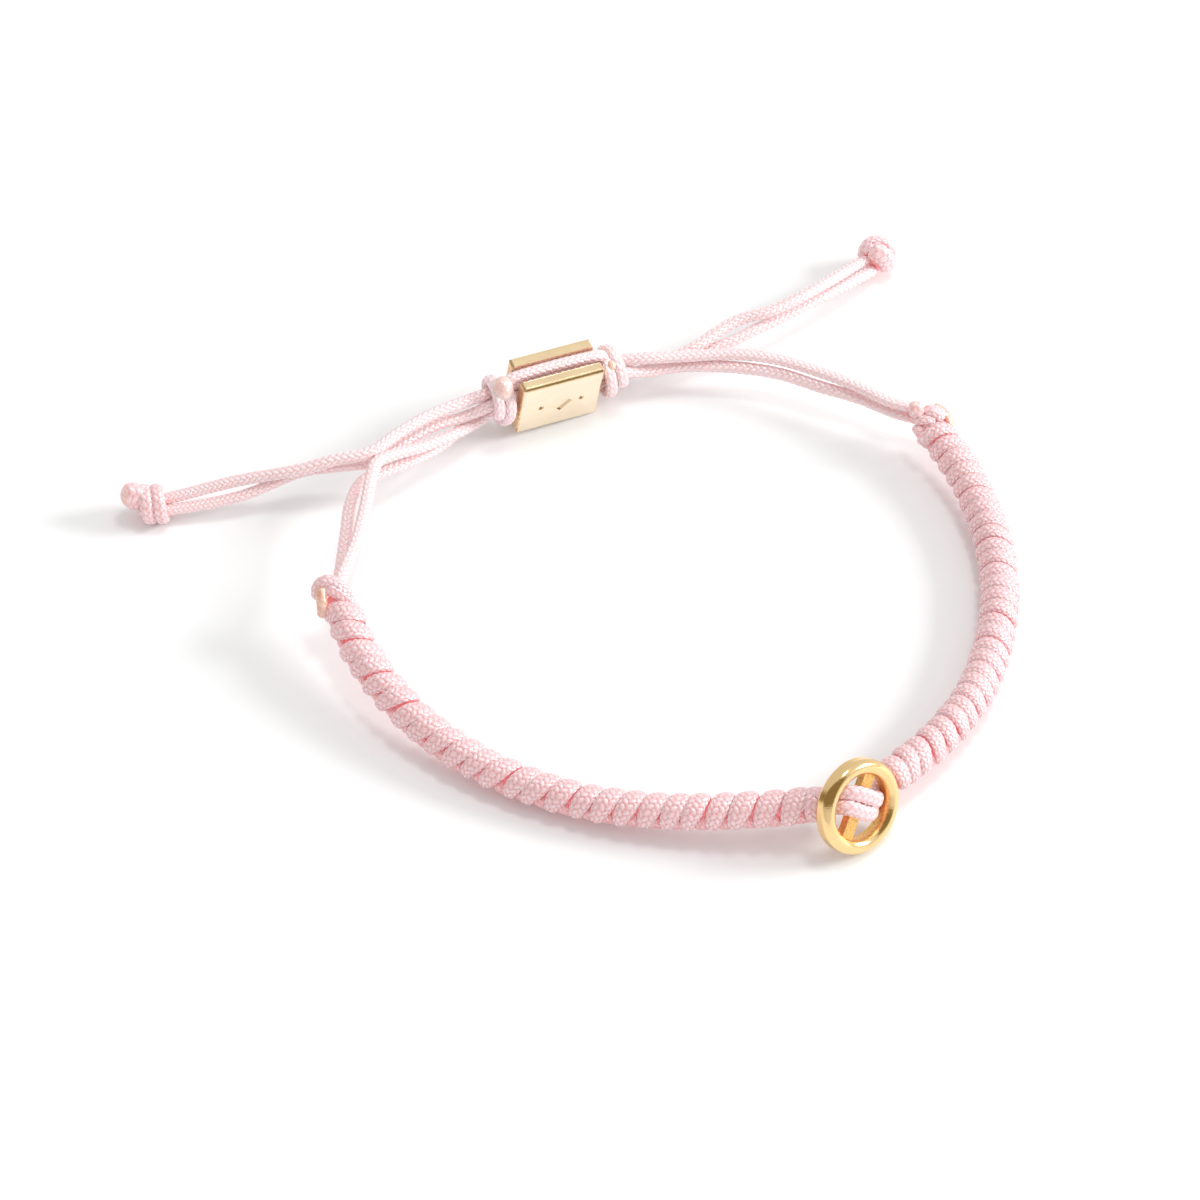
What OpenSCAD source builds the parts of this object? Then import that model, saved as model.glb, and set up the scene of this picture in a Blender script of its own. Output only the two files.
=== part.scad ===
// A knotted cord bracelet with a gold ring and a gold slide bead, lying on a table.
// It lies on z = 0 with the wrist opening round the origin. The arms run from the bead's
// cords at the back to the ring at the front. All sizes are in millimetres.

/* [Woven arms] */
// Width of an arm across its wraps
arm_w = 3.2; // [2.8:0.1:3.2]
// Height of an arm
arm_h = 3.1; // [2.7:0.1:3.1]
// Wraps in the left arm
left_wraps = 27; // [20:1:29]
// Wraps in the right arm
right_wraps = 30; // [20:1:30]
// How far a wrap of the left arm leans along it over half a turn, in wraps
left_lean = 1; // [0:0.1:1.1]
// How far a wrap of the right arm leans along it over half a turn, in wraps
right_lean = 0.5; // [0:0.1:1.1]
// Depth of the groove between two wraps, as a share of the arm's radius
groove_share = 0.14; // [0:0.01:0.2]
// Depth of the dent where the upper and lower wraps interlock, as a share of the radius
seam_share = 0.07; // [0:0.01:0.12]
// Radius of an arm's end, as a share of its full radius
end_share = 0.78; // [0.6:0.01:0.85]

/* [Cords] */
// Diameter of each of the four strands between the arms and the end knots
strand_d = 0.95; // [0.8:0.05:0.95]
// Diameter of the cord that binds the four strands on the bead
binding_d = 0.9; // [0.8:0.05:0.9]
// Diameter of the two cords that carry the ring
centre_cord_d = 1; // [0.8:0.05:1]
// Diameter of the cord in the knots that close the arms
arm_knot_d = 1.05; // [0.8:0.05:1.05]

/* [End knots] */
// Outer diameter of an end knot
end_knot_d = 3.5; // [3:0.1:3.5]
// Width of one wrap of an end knot
end_wrap_w = 1.25; // [1:0.05:1.3]
// Distance between the two wraps of an end knot
end_wrap_pitch = 1.1; // [0.9:0.05:1.1]
// Diameter of the melted stub beyond an end knot
end_stub_d = 1.7; // [1.2:0.1:1.8]

/* [Ring] */
// Outer diameter of the ring
ring_d = 8.1; // [7.9:0.1:8.2]
// Width of the ring's band, from its hole to its rim
ring_band = 1.25; // [1.1:0.05:1.25]
// Depth of the ring from front to back
ring_depth = 1.45; // [1.4:0.05:1.45]
// Width of the bar across the ring
bar_w = 1.15; // [0.9:0.05:1.2]

/* [Slide bead] */
// Length of the bead along the strands
bead_l = 7.7; // [7.5:0.1:7.7]
// Depth of the bead from its front plate to its back plate
bead_d = 3.85; // [3.75:0.05:3.95]
// Height of the bead
bead_h = 6.2; // [6.1:0.1:6.4]
// Thickness of the front and back plates
bead_wall = 1.05; // [1:0.05:1.1]
// Thickness of the floor under the strands
bead_floor = 1; // [0.8:0.05:1.1]
// Radius of the bead's corners
bead_corner_r = 0.4; // [0.2:0.05:0.5]
// Depth of the motif sunk in the front plate
motif_depth = 0.15; // [0.1:0.05:0.2]

/* [Hidden] */

cord_pink = [0.93, 0.76, 0.76];
melted_brown = [0.85, 0.58, 0.42];
gold = [0.88, 0.68, 0.42];

$fn = 48;
cord_sides = 8;
arm_sides = 16;
rings_per_wrap = 4;
// Wraps over which the lean of the wraps dies away towards an arm's square end
settle_wraps = 1.5;
// Wraps over which an arm grows from its end to its full radius
swell_wraps = 1;
// Fullness of a wrap between its grooves: 1 is a plain sine, less is flatter
wrap_fullness = 0.8;
// Half of the stretch of a table, in rows, over which a curve's direction is taken
heading_reach = 0.05;

// Centre line of the left arm, from its free end to the ring: x, y, z in equal steps
left_arm_line = [
    [-27.6, -1.5, 4.5], [-25.4, -7.4, 3.6], [-21.9, -12.6, 2.7], [-17.3, -16.9, 2.0], [-11.9, -20.2, 1.7],
    [-6.0, -22.5, 1.8], [0.1, -23.8, 2.3], [6.4, -24.3, 3.0], [12.5, -24.3, 3.8]
];
// Centre line of the right arm, from the ring to its free end: x, y, z in equal steps
right_arm_line = [
    [18.5, -20.2, 2.5], [22.7, -15.8, 2.3], [25.9, -10.5, 2.1], [27.8, -4.5, 1.9], [28.5, 1.7, 1.8],
    [27.9, 7.9, 1.9], [26.1, 13.9, 2.3], [23.1, 19.3, 3.1]
];

// Routes of the four strands, from the arm through the bead to the end knot: x, y, z
left_front_route = [
    [-27.3, -1.0, 4.9], [-26.7, 1.3, 4.9], [-26.0, 3.9, 4.9], [-25.4, 7.4, 5.0], [-24.9, 11.4, 5.1],
    [-24.4, 13.1, 5.0], [-23.0, 14.3, 4.6], [-20.6, 16.0, 3.8], [-17.9, 18.3, 3.0], [-16.0, 20.0, 2.7],
    [-14.2, 20.8, 3.4], [-12.7, 21.9, 2.5], [-6.3, 24.8, 2.1], [-4.5, 25.1, 2.6], [-2.4, 26.8, 1.8],
    [0.6, 28.1, 1.8], [5.0, 29.2, 2.6], [9.0, 31.5, 2.9], [14.6, 35.8, 2.4], [18.4, 39.5, 1.4]
];
left_back_route = [
    [-27.6, -1.0, 3.8], [-27.3, 1.4, 4.0], [-27.0, 4.9, 4.2], [-26.7, 8.9, 4.1], [-25.8, 11.8, 3.7],
    [-24.2, 13.3, 3.3], [-21.6, 15.4, 2.6], [-19.0, 18.3, 1.7], [-16.8, 20.8, 1.9], [-14.6, 21.9, 3.5],
    [-12.9, 22.3, 3.5], [-6.5, 25.2, 3.1], [-4.9, 26.2, 2.8], [-2.6, 27.3, 2.9], [0.8, 27.6, 2.9],
    [3.1, 28.6, 3.3], [6.5, 31.2, 3.7], [9.8, 32.2, 4.1], [13.2, 34.7, 3.9], [17.8, 40.2, 2.1]
];
right_front_route = [
    [22.4, 20.3, 2.6], [20.0, 21.1, 2.8], [17.2, 22.7, 2.8], [13.8, 24.0, 2.9], [10.2, 25.5, 3.0],
    [6.2, 26.3, 3.0], [1.7, 26.5, 2.9], [-1.5, 25.8, 2.9], [-4.4, 25.0, 3.7], [-6.1, 24.5, 3.8],
    [-12.5, 21.7, 4.3], [-14.0, 20.7, 4.5], [-16.8, 19.8, 3.7], [-19.9, 18.4, 3.7], [-22.7, 16.1, 3.7],
    [-25.0, 14.2, 3.7], [-28.2, 13.8, 3.5], [-31.3, 13.5, 3.1], [-36.5, 11.8, 1.9], [-42.1, 10.8, 1.4]
];
right_back_route = [
    [22.3, 20.4, 3.7], [19.6, 21.3, 3.9], [16.8, 23.2, 3.9], [13.6, 24.9, 3.9], [10.0, 26.3, 4.0],
    [6.2, 26.9, 4.0], [1.7, 26.6, 4.0], [-1.5, 26.2, 4.2], [-4.8, 26.0, 4.0], [-6.3, 24.9, 4.8],
    [-12.7, 22.1, 5.3], [-14.5, 21.7, 4.7], [-16.8, 20.4, 4.9], [-19.9, 18.6, 5.0], [-22.7, 16.2, 5.2],
    [-25.0, 14.0, 5.2], [-28.2, 13.3, 4.9], [-31.3, 12.8, 4.2], [-36.5, 12.6, 3.1], [-42.1, 11.7, 2.0]
];

// Centre and turn of the ring: its own x runs across the cords, y along the bar, z out of its front
ring_centre = [15.7, -24.6, 3.95];
ring_turn = [59, 41, 21];
ring_edge_r = 0.2;
bar_thick = ring_depth / 2;
// Routes of the two cords through the ring, in the ring's own x, y and z
upper_centre_route = [
    [-2.3, -0.6, -1.9], [-1.6, 0.3, -0.6], [-0.9, 0.8, 0.45], [0, 1.2, 0.65], [0.9, 1.5, 0.45],
    [1.3, 1.6, -0.2], [1.6, 1.5, -0.9], [2.2, 1.9, -1.5], [3.75, 3.2, -1.75]
];
lower_centre_route = [
    [-1.8, -1.5, -1.8], [-1.4, -1.0, -0.8], [-0.9, -0.4, 0.5], [0, 0.1, 0.65], [0.9, 0.3, 0.45],
    [1.4, 0.4, -0.3], [1.9, 0.5, -1], [2.7, 0.9, -1.5], [4.5, 2.4, -1.75]
];

// Lower front left corner and turn of the bead: its own x runs along the strands, y from front to back
bead_corner = [-12.7, 20.5, 0.54];
bead_turn = [10, 4, 24];
slot_w = bead_d - 2 * bead_wall;
cut_margin = 1;
// A lozenge's side, the dots' diameter and the distance from the lozenge's middle to a dot's
motif_size = 1.5;
motif_dot_d = 0.5;
motif_gap = 1.9;
// Height of the four strands' middle beside the bead, and radius of the loops round them
bundle_h = 3.1;
loop_r = 1.92;
// Distance from the bead's end to the first loop, and from loop to loop
loop_gap = 0.75;
loop_pitch = 1.05;
loop_turns = 1.25;
loop_steps = 12;
// How far the binding cord's straight run lies below the bead's top and inside its ends
run_depth = 0.55;
run_inset = 0.3;

// The cord that closes an arm: x, y, z of its centre line up to its melted end
left_knot_route = [
    [-26.2, -0.6, 5.6], [-26.8, -0.6, 6.2], [-27.8, -0.7, 6.3], [-28.6, -0.8, 5.9], [-29.2, -1.0, 5.1],
    [-29.5, -1.7, 4.5], [-29.3, -2.7, 4.2], [-29.0, -3.9, 3.9]
];
right_knot_route = [
    [22.5, 18.6, 1.2], [21.8, 19.0, 1.6], [21.3, 19.3, 2.4], [21.1, 19.5, 3.4], [21.2, 19.9, 4.4],
    [21.7, 20.5, 5.1], [22.6, 20.9, 5.0], [23.6, 20.9, 4.4], [24.5, 20.5, 3.3]
];

// Places of the end knots: x, y, z, and the turn about z of the line from the strands outwards
left_end_place = [-43.5, 11.1, 1.76, 182];
right_end_place = [19.3, 41.3, 1.76, 48];
end_core_d = 1.9;
end_core_l = end_wrap_pitch + end_wrap_w;
end_stub_l = 1.1;

function unit(v) = v / norm(v);

// Point of the smooth curve through a table's rows, where u counts rows from the first one
function on_curve(table, u) =
    let (
        last = len(table) - 1,
        i = max(0, min(floor(u), last - 1)),
        t = u - i,
        before = table[max(i - 1, 0)],
        from = table[i],
        to = table[i + 1],
        after = table[min(i + 2, last)]
    )
    from + t / 2 * (
        to - before
        + t * (2 * before - 5 * from + 4 * to - after + t * (3 * (from - to) + after - before))
    );

// Direction of that curve
function curve_heading(table, u) =
    unit(on_curve(table, u + heading_reach) - on_curve(table, u - heading_reach));

// Radius of a row of wraps at a place counted in wraps, as a share of the full radius
function wrap_relief(place) = 1 - groove_share + groove_share * pow(abs(sin(180 * place)), wrap_fullness);

// The upper wraps and the lower wraps are half a wrap apart and meet at the seams at 0 and 180 degrees
function arm_relief(place, turn) =
    turn % 180 == 0 ? (1 - seam_share) * (wrap_relief(place) + wrap_relief(place + 0.5)) / 2
    : turn < 180 ? wrap_relief(place)
    : wrap_relief(place + 0.5);

// One ring of points round an arm. It leans forward from the outer seam to the inner one
function arm_ring(line, wraps, lean, place) =
    let (
        to_end = min(place, wraps - place),
        settled = min(1, to_end / settle_wraps),
        swell = end_share + (1 - end_share) * sqrt(min(1, to_end / swell_wraps))
    )
    [for (k = [0 : arm_sides - 1])
        let (
            turn = 360 * k / arm_sides,
            inward = 1 - abs(turn - 180) / 180,
            u = (place + lean * settled * (inward - 0.5)) / wraps * (len(line) - 1),
            heading = curve_heading(line, u),
            outward = unit(cross(heading, [0, 0, 1])),
            across = arm_w / 2 * cos(turn) * outward,
            upward = arm_h / 2 * sin(turn) * cross(outward, heading),
            share = swell * arm_relief(place, turn)
        )
        on_curve(line, u) + share * (across + upward)
    ];

// Direction of a route of straight stretches at its point i
function route_heading(route, i) =
    let (
        last = len(route) - 1,
        behind = i > 0 ? unit(route[i] - route[i - 1]) : [0, 0, 0],
        ahead = i < last ? unit(route[i + 1] - route[i]) : [0, 0, 0]
    )
    unit(behind + ahead);

// One ring of points round a route's point i, with its first corner turned towards the guide direction
function tube_ring(route, d, guide, i) =
    let (
        heading = route_heading(route, i),
        side = unit(cross(heading, guide)),
        rise = cross(side, heading)
    )
    [for (k = [0 : cord_sides - 1])
        let (turn = 360 * k / cord_sides)
        route[i] + d / 2 * (cos(turn) * side + sin(turn) * rise)
    ];

// A closed skin over rings of points that have the same number of points, with flat ends
module skin(rings) {
    n = len(rings[0]);
    last = len(rings) - 1;
    walls = [for (i = [0 : last - 1], k = [0 : n - 1])
        let (
            a = i * n + k,
            b = i * n + (k + 1) % n
        )
        each [[a, b, a + n], [b, b + n, a + n]]
    ];
    first_cap = [for (k = [n - 1 : -1 : 0]) k];
    last_cap = [for (k = [0 : n - 1]) last * n + k];
    polyhedron(points = [for (ring = rings) each ring], faces = concat([first_cap], walls, [last_cap]));
}

module tube(route, d, guide = [0, 0, 1]) {
    skin([for (i = [0 : len(route) - 1]) tube_ring(route, d, guide, i)]);
}

module woven_arm(line, wraps, lean) {
    color(cord_pink)
        skin([for (i = [0 : wraps * rings_per_wrap]) arm_ring(line, wraps, lean, i / rings_per_wrap)]);
}

module woven_arm_left() {
    woven_arm(left_arm_line, left_wraps, left_lean);
}

module woven_arm_right() {
    woven_arm(right_arm_line, right_wraps, right_lean);
}

// Section of the ring's band: a half-round front on a flat back with eased edges
module ring_section() {
    dome_r = ring_band / 2;
    back = -ring_depth / 2;
    dome_z = ring_depth / 2 - dome_r;
    translate([dome_r, dome_z])
        circle(dome_r);
    translate([0, back + ring_edge_r])
        square([ring_band, dome_z - back - ring_edge_r]);
    translate([ring_edge_r, back])
        square([ring_band - 2 * ring_edge_r, ring_edge_r]);
    for (x = [ring_edge_r, ring_band - ring_edge_r])
        translate([x, back + ring_edge_r])
            circle(ring_edge_r);
}

module in_ring_frame() {
    translate(ring_centre)
        rotate(ring_turn)
            children();
}

module charm_ring() {
    color(gold)
        in_ring_frame() {
            rotate_extrude()
                translate([ring_d / 2 - ring_band, 0])
                    ring_section();
            translate([-bar_w / 2, -(ring_d - ring_band) / 2, -ring_depth / 2])
                cube([bar_w, ring_d - ring_band, bar_thick]);
        }
}

module rounded_rect(w, h, r) {
    translate([r, 0])
        square([w - 2 * r, h]);
    translate([0, r])
        square([w, h - 2 * r]);
    for (x = [r, w - r], y = [r, h - r])
        translate([x, y])
            circle(r);
}

// A block whose edges are rounded in all three directions
module rounded_block(size, r) {
    intersection() {
        linear_extrude(size.z)
            rounded_rect(size.x, size.y, r);
        translate([0, size.y, 0])
            rotate([90, 0, 0])
                linear_extrude(size.y)
                    rounded_rect(size.x, size.z, r);
        rotate([90, 0, 90])
            linear_extrude(size.x)
                rounded_rect(size.y, size.z, r);
    }
}

// A lozenge between two dots
module motif() {
    rotate([90, 0, 0])
        linear_extrude(2 * motif_depth, center = true) {
            rotate(45)
                square(motif_size, center = true);
            for (side = [-1, 1])
                translate([side * motif_gap, 0])
                    circle(d = motif_dot_d);
        }
}

module in_bead_frame() {
    translate(bead_corner)
        rotate(bead_turn)
            children();
}

module slide_bead() {
    color(gold)
        in_bead_frame()
            difference() {
                rounded_block([bead_l, bead_d, bead_h], bead_corner_r);
                translate([-cut_margin, bead_wall, bead_floor])
                    cube([bead_l + 2 * cut_margin, slot_w, bead_h]);
                translate([bead_l / 2, 0, bead_h / 2])
                    motif();
            }
}

// Turns of a cord round the four strands, away from the bead: x of the first turn and the way it goes
function loop_points(start_x, way) =
    [for (i = [0 : loop_turns * loop_steps])
        let (turn = 360 * i / loop_steps)
        [
            start_x + way * loop_pitch * i / loop_steps,
            bead_d / 2 - loop_r * sin(turn),
            bundle_h + loop_r * cos(turn)
        ]
    ];

module binding_cord() {
    left_loop = loop_points(-loop_gap, -1);
    right_loop = loop_points(bead_l + loop_gap, 1);
    last = len(left_loop) - 1;
    run = [for (x = [run_inset, bead_l - run_inset]) [x, bead_d / 2, bead_h - run_depth]];
    route = concat([for (i = [last : -1 : 0]) left_loop[i]], run, right_loop);
    color(cord_pink)
        in_bead_frame()
            tube(route, binding_d, guide = [1, 1, 1]);
}

module left_cord_front() {
    color(cord_pink)
        tube(left_front_route, strand_d);
}

module left_cord_back() {
    color(cord_pink)
        tube(left_back_route, strand_d);
}

module right_cord_front() {
    color(cord_pink)
        tube(right_front_route, strand_d);
}

module right_cord_back() {
    color(cord_pink)
        tube(right_back_route, strand_d);
}

module centre_cord_upper() {
    color(cord_pink)
        in_ring_frame()
            tube(upper_centre_route, centre_cord_d, guide = [0, 1, 0]);
}

module centre_cord_lower() {
    color(cord_pink)
        in_ring_frame()
            tube(lower_centre_route, centre_cord_d, guide = [0, 1, 0]);
}

// Two wraps side by side on a core, with a melted stub beyond them. The strands come in from -x
module end_knot(place) {
    translate([place[0], place[1], place[2]])
        rotate([0, 0, place[3]])
            rotate([0, 90, 0]) {
                for (side = [-1, 1])
                    translate([0, 0, side * end_wrap_pitch / 2])
                        rotate_extrude()
                            translate([(end_knot_d - end_wrap_w) / 2, 0])
                                circle(d = end_wrap_w);
                cylinder(d = end_core_d, h = end_core_l, center = true);
                cylinder(d = end_stub_d, h = end_core_l / 2 + end_stub_l);
            }
}

module end_knot_left() {
    color(cord_pink)
        end_knot(left_end_place);
}

module end_knot_right() {
    color(cord_pink)
        end_knot(right_end_place);
}

module arm_knot_left() {
    color(melted_brown)
        tube(left_knot_route, arm_knot_d, guide = [1, 1, 0]);
}

module arm_knot_right() {
    color(melted_brown)
        tube(right_knot_route, arm_knot_d, guide = [0, 1, 0]);
}

woven_arm_left();
woven_arm_right();
charm_ring();
slide_bead();
binding_cord();
left_cord_front();
left_cord_back();
right_cord_front();
right_cord_back();
centre_cord_upper();
centre_cord_lower();
end_knot_left();
end_knot_right();
arm_knot_left();
arm_knot_right();
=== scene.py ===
import math

import bmesh
import bpy
import numpy as np
from mathutils import Matrix, Vector


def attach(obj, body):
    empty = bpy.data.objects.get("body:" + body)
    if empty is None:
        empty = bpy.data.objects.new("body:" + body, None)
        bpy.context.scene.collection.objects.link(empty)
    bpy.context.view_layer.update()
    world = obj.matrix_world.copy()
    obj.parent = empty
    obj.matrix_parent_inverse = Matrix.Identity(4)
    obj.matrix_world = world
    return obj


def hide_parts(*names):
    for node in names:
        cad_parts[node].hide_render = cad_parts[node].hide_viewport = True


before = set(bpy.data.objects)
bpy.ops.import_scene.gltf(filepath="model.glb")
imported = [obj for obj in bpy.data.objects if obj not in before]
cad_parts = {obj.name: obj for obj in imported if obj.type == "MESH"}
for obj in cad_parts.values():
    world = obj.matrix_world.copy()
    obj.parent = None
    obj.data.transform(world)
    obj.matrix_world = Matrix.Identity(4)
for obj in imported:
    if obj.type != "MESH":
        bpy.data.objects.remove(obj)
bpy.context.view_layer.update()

# ---- Camera ----
# The photograph was taken with a long lens from the front, 48 degrees above the table. The
# frame is square, and the camera looks along +Y at the middle of the bracelet and its tails.
camera_data = bpy.data.cameras.new("camera")
camera_data.lens = 176.46
camera_data.sensor_width = 36
camera = bpy.data.objects.new("camera", camera_data)
camera.location = (-0.0054, -0.33297, 0.37157)
camera.rotation_euler = (math.radians(42), 0, 0)
bpy.context.scene.collection.objects.link(camera)
bpy.context.scene.camera = camera

# ---- End knots ----
# The strands end in pairs in an overhand knot, two tight wraps side by side. The knots are
# pulled shut by hand, and the nylon beyond them is cut short and melted with a flame.
MM = 0.001  # every size below is in millimetres, and every turn in degrees
UP = (0, 0, 1)
BRAID_COLUMNS = 8  # columns of stitches round one cord
BRAID_DEPTH = 0.07
STITCH_CELL = (0.40, 0.55)  # width of a column and length of a stitch's place in it
STITCH_HALF = (0.34, 0.20)  # half the length and half the width of a stitch
STITCH_LEAN = math.radians(30)
STITCH_COLUMNS = ((0.5, -1), (1.5, 1))  # middle and lean of two columns, which repeat round a cord
STITCH_NEIGHBOURS = (-STITCH_CELL[1], 0, STITCH_CELL[1])
PLAIN_HEIGHT = 0.75  # height of the braid where a cord has its plain thickness
MELTED_HEIGHT = 0.6  # height of stitches that have run together
THINNEST_R = 0.2
FLANK_FROM, FLANK_REACH = 0.36, 0.9  # painted shade on the lower flanks of a tight cord starts here and grows over this
SMOOTH_STEPS = 60
BEND_STEP = 0.06
SAME_PLACE = 1e-7  # in metres
rng = np.random.default_rng(7)


def unit(v):
    return v / np.maximum(np.linalg.norm(v, axis=-1, keepdims=True), 1e-12)


def way_along(line):
    return np.concatenate([[0], np.cumsum(np.linalg.norm(np.diff(line, axis=0), axis=1))])


def on_line(rows, u):
    """Places on the smooth line through a table's rows, where u counts rows from the first one."""
    rows, u = np.asarray(rows, float), np.asarray(u, float)
    i = np.clip(np.floor(u), 0, len(rows) - 2).astype(int)
    t = (u - i)[..., None]
    before, start = rows[np.maximum(i - 1, 0)], rows[i]
    end, after = rows[i + 1], rows[np.minimum(i + 2, len(rows) - 1)]
    return start + t / 2 * (end - before + t * (
        2 * before - 5 * start + 4 * end - after + t * (3 * (start - end) + after - before)))


def even_line(rows, step):
    """The smooth line through the rows again, in even steps, with the way travelled to each point."""
    fine = on_line(rows, np.linspace(0, len(rows) - 1, SMOOTH_STEPS * len(rows)))
    way = way_along(fine)
    at = np.linspace(0, way[-1], max(4, round(way[-1] / step)) + 1)
    return np.stack([np.interp(at, way, fine[:, k]) for k in range(3)], axis=1), at


def braid_relief(column, stitch):
    """Height of a round braid, 0 in its gaps and 1 on the crown of a stitch. The stitches are small
    ovals that lean one way in one column and the other way in the next, half a stitch further on."""
    height = np.zeros(np.broadcast(column, stitch).shape)
    sin, cos = math.sin(STITCH_LEAN), math.cos(STITCH_LEAN)
    for middle, lean in STITCH_COLUMNS:
        x = (column - (2 * np.round((column - middle) / 2) + middle)) * STITCH_CELL[0]
        turn = stitch + lean / 4
        turn = (turn - np.round(turn)) * STITCH_CELL[1]
        for step in STITCH_NEIGHBOURS:
            y = turn + step
            long = (x * lean * sin + y * cos) / STITCH_HALF[0]
            wide = (x * cos - y * lean * sin) / STITCH_HALF[1]
            height = np.maximum(height, np.sqrt(np.clip(1 - long ** 2 - wide ** 2, 0, 1)))
    return height


def cord_run(line, facing, width, thick, stitch, sides=(20, 20), squareness=2.4, depth=BRAID_DEPTH,
             round_ends=(0.4, 0.4), melt=0.0, painted_shade=0.0, shift=0.0, twist=0.0, columns=BRAID_COLUMNS,
             flank_shade=0.0):
    """One closed run of flat braided cord along a line: its points ring by ring, its own UV, where
    U counts columns and V stitches, how far each point is melted, and how much painted shade it gets."""
    count = len(line)

    def per_ring(value):
        return np.broadcast_to(value, count)[:, None]

    heading = unit(np.gradient(line, axis=0))
    side = unit(np.cross(heading, np.broadcast_to(facing, line.shape)))
    face = np.cross(side, heading)
    way = way_along(line)
    ends = np.ones(count)
    for far, reach in zip((way, way[-1] - way), round_ends):
        ends *= np.sqrt(np.clip(1 - np.clip(1 - far / reach, 0, 1) ** 2, 0, 1))
    turn = np.concatenate([np.linspace(0, math.pi, sides[0] + 1),
                           np.linspace(math.pi, 2 * math.pi, sides[1] + 1)[1:]])[None, :]
    c, s = np.cos(turn), np.sin(turn)
    x = np.sign(c) * np.abs(c) ** (2 / squareness) * per_ring(width) / 2
    y = np.sign(s) * np.abs(s) ** (2 / squareness) * per_ring(thick) / 2
    column, along = np.broadcast_arrays(turn / (2 * math.pi) * columns + shift, per_ring(stitch))
    melted = np.broadcast_to(per_ring(melt), column.shape)
    relief = braid_relief(column, along)
    relief = relief + (MELTED_HEIGHT - relief) * melted
    lift = 1 + depth * (relief - PLAIN_HEIGHT) / np.maximum(np.hypot(x, y), THINNEST_R)
    x, y = x * lift * ends[:, None], y * lift * ends[:, None]
    spin = per_ring(twist)
    x, y = x * np.cos(spin) - y * np.sin(spin), x * np.sin(spin) + y * np.cos(spin)
    points = line[:, None, :] + x[..., None] * side[:, None, :] + y[..., None] * face[:, None, :]
    # Painted shade: the run's own share, and more on its lower flanks.
    shade = per_ring(painted_shade) + flank_shade * np.clip((FLANK_FROM - s) / FLANK_REACH, 0, 1)
    return {"points": points, "uv": np.stack([column, along], axis=-1), "melt": melted,
            "painted_shade": np.clip(np.broadcast_to(shade, column.shape), 0, 1)}


def cord_piece(name, runs, material):
    """One object of closed runs. Each is a grid that is rolled up round its line and closed."""
    made = bpy.data.meshes.new(name)
    whole = bmesh.new()
    for run in runs:
        rings, columns = run["points"].shape[:2]
        bm = bmesh.new()
        bm.loops.layers.uv.new("cord_way")
        bmesh.ops.create_grid(bm, x_segments=columns - 1, y_segments=rings - 1, size=1, calc_uvs=True)
        sheet = bpy.data.meshes.new("sheet")
        bm.to_mesh(sheet)
        bm.free()
        sheet.vertices.foreach_set("co", (run["points"] * MM).ravel())
        corner = np.zeros(len(sheet.loops), np.int32)
        sheet.loops.foreach_get("vertex_index", corner)
        sheet.uv_layers["cord_way"].data.foreach_set("uv", run["uv"].reshape(-1, 2)[corner].ravel())
        for key in ("melt", "painted_shade"):
            layer = sheet.attributes.new(key, "FLOAT", "POINT")
            layer.data.foreach_set("value", np.ascontiguousarray(run[key], dtype=float).ravel())
        whole.from_mesh(sheet)
        bpy.data.meshes.remove(sheet)
    bmesh.ops.remove_doubles(whole, verts=whole.verts, dist=SAME_PLACE)
    bmesh.ops.recalc_face_normals(whole, faces=whole.faces)
    for f in whole.faces:
        f.smooth = True
    whole.to_mesh(made)
    whole.free()
    made.materials.append(material)
    piece = bpy.data.objects.new(name, made)
    bpy.context.scene.collection.objects.link(piece)
    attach(piece, "root")
    return piece


def add_node(tree, kind, inputs=None, **settings):
    node = tree.nodes.new(kind)
    for key, value in settings.items():
        setattr(node, key, value)
    for key, value in (inputs or {}).items():
        if isinstance(value, bpy.types.NodeSocket):
            tree.links.new(value, node.inputs[key])
        else:
            node.inputs[key].default_value = value
    return node


def sums(tree, operation, a, b=0.0, c=0.0, clamp=False):
    return add_node(tree, "ShaderNodeMath", {0: a, 1: b, 2: c}, operation=operation,
                    use_clamp=clamp).outputs[0]


def blend_colour(tree, share, a, b, kind="MIX"):
    return add_node(tree, "ShaderNodeMix", {"Factor": share, 6: a, 7: b}, data_type="RGBA",
                    blend_type=kind).outputs[2]


def grey(tree, value):
    return add_node(tree, "ShaderNodeCombineColor", {0: value, 1: value, 2: value}).outputs[0]


def ramp_mask(tree, value, start, end):
    return add_node(tree, "ShaderNodeMapRange", {"Value": value, "From Min": start, "From Max": end},
                    interpolation_type="SMOOTHSTEP").outputs["Result"]


def noise(tree, place, scale, detail=2.0):
    return add_node(tree, "ShaderNodeTexNoise", {"Vector": place, "Scale": scale,
                                                 "Detail": detail}).outputs[0]


def object_place(tree):
    return add_node(tree, "ShaderNodeTexCoord").outputs["Object"]


def attribute_mask(tree, name):
    return add_node(tree, "ShaderNodeAttribute", attribute_name=name).outputs["Fac"]


def finish_group(name, sockets):
    """A node group for one finish. Its inputs are the sockets that have a value to start from."""
    group = bpy.data.node_groups.new(name, "ShaderNodeTree")
    for label, kind, start in sockets:
        put = "OUTPUT" if start is None else "INPUT"
        socket = group.interface.new_socket(label, in_out=put, socket_type="NodeSocket" + kind)
        if start is not None:
            socket.default_value = start
    return group, group.nodes.new("NodeGroupInput").outputs, group.nodes.new("NodeGroupOutput").inputs


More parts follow.
